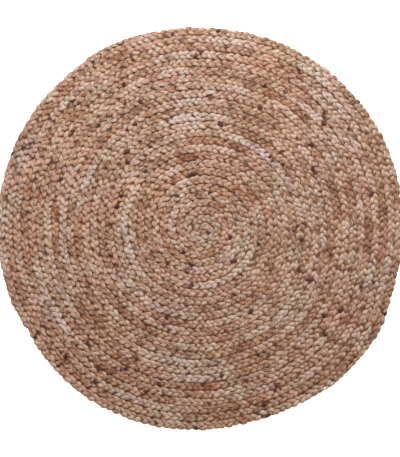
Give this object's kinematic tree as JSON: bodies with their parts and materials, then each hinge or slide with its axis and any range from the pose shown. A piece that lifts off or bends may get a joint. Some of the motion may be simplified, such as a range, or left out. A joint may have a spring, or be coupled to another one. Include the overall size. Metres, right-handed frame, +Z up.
{
  "type": "round braided jute rug",
  "caption": "Flat round mat of two braided jute cords coiled together and sewn edge to edge, a floor covering that lies flat on its underside.",
  "frame": {"origin": "middle of the rug's bounding rectangle, on the flat underside", "axes": "+Z up through the thickness, +Y towards the top edge of the rug as seen from above, +X to the right"},
  "size_m": [0.8988, 0.8928, 0.01],
  "materials": {
    "jute_braid": "matt undyed jute yarn in a coarse three-strand braid, warm tan with paler, greyish and rust-brown lengths"
  },
  "bodies": {
    "root": {"rug": "jute_braid"}
  },
  "joints": []
}
